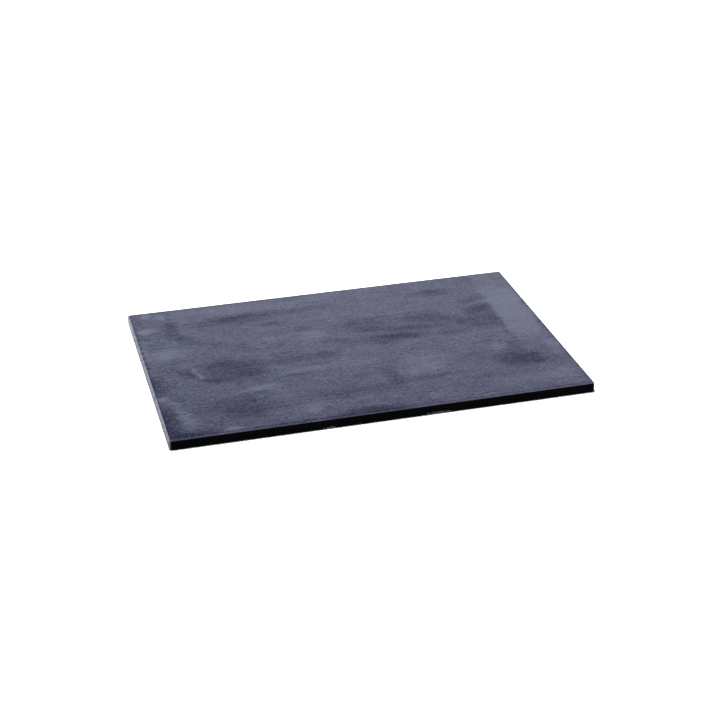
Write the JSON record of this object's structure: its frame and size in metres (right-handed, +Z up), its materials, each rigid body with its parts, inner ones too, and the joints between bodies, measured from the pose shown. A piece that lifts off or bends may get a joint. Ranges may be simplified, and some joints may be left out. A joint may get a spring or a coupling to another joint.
{
  "type": "granite slab",
  "caption": "Thin rectangular granite bench slab with a honed top, bevelled edges and stick-on rubber feet, for tooling and punching leather.",
  "frame": {"origin": "middle of the footprint, on the plane of the feet's soles", "axes": "+X along the length, -Y towards the person at the bench, +Z up out of the work face"},
  "size_m": [0.4572, 0.3048, 0.012],
  "materials": {
    "granite": "honed top, sawn edges and underside",
    "rubber_foot": "matt moulded",
    "adhesive_tape": "die-cut foam tape"
  },
  "bodies": {
    "root": {"granite_slab": "granite", "foot_front_left": "rubber_foot", "foot_front_right": "rubber_foot", "foot_back_left": "rubber_foot", "foot_back_right": "rubber_foot", "adhesive_front_left": "adhesive_tape", "adhesive_front_right": "adhesive_tape", "adhesive_back_left": "adhesive_tape", "adhesive_back_right": "adhesive_tape"}
  },
  "joints": []
}
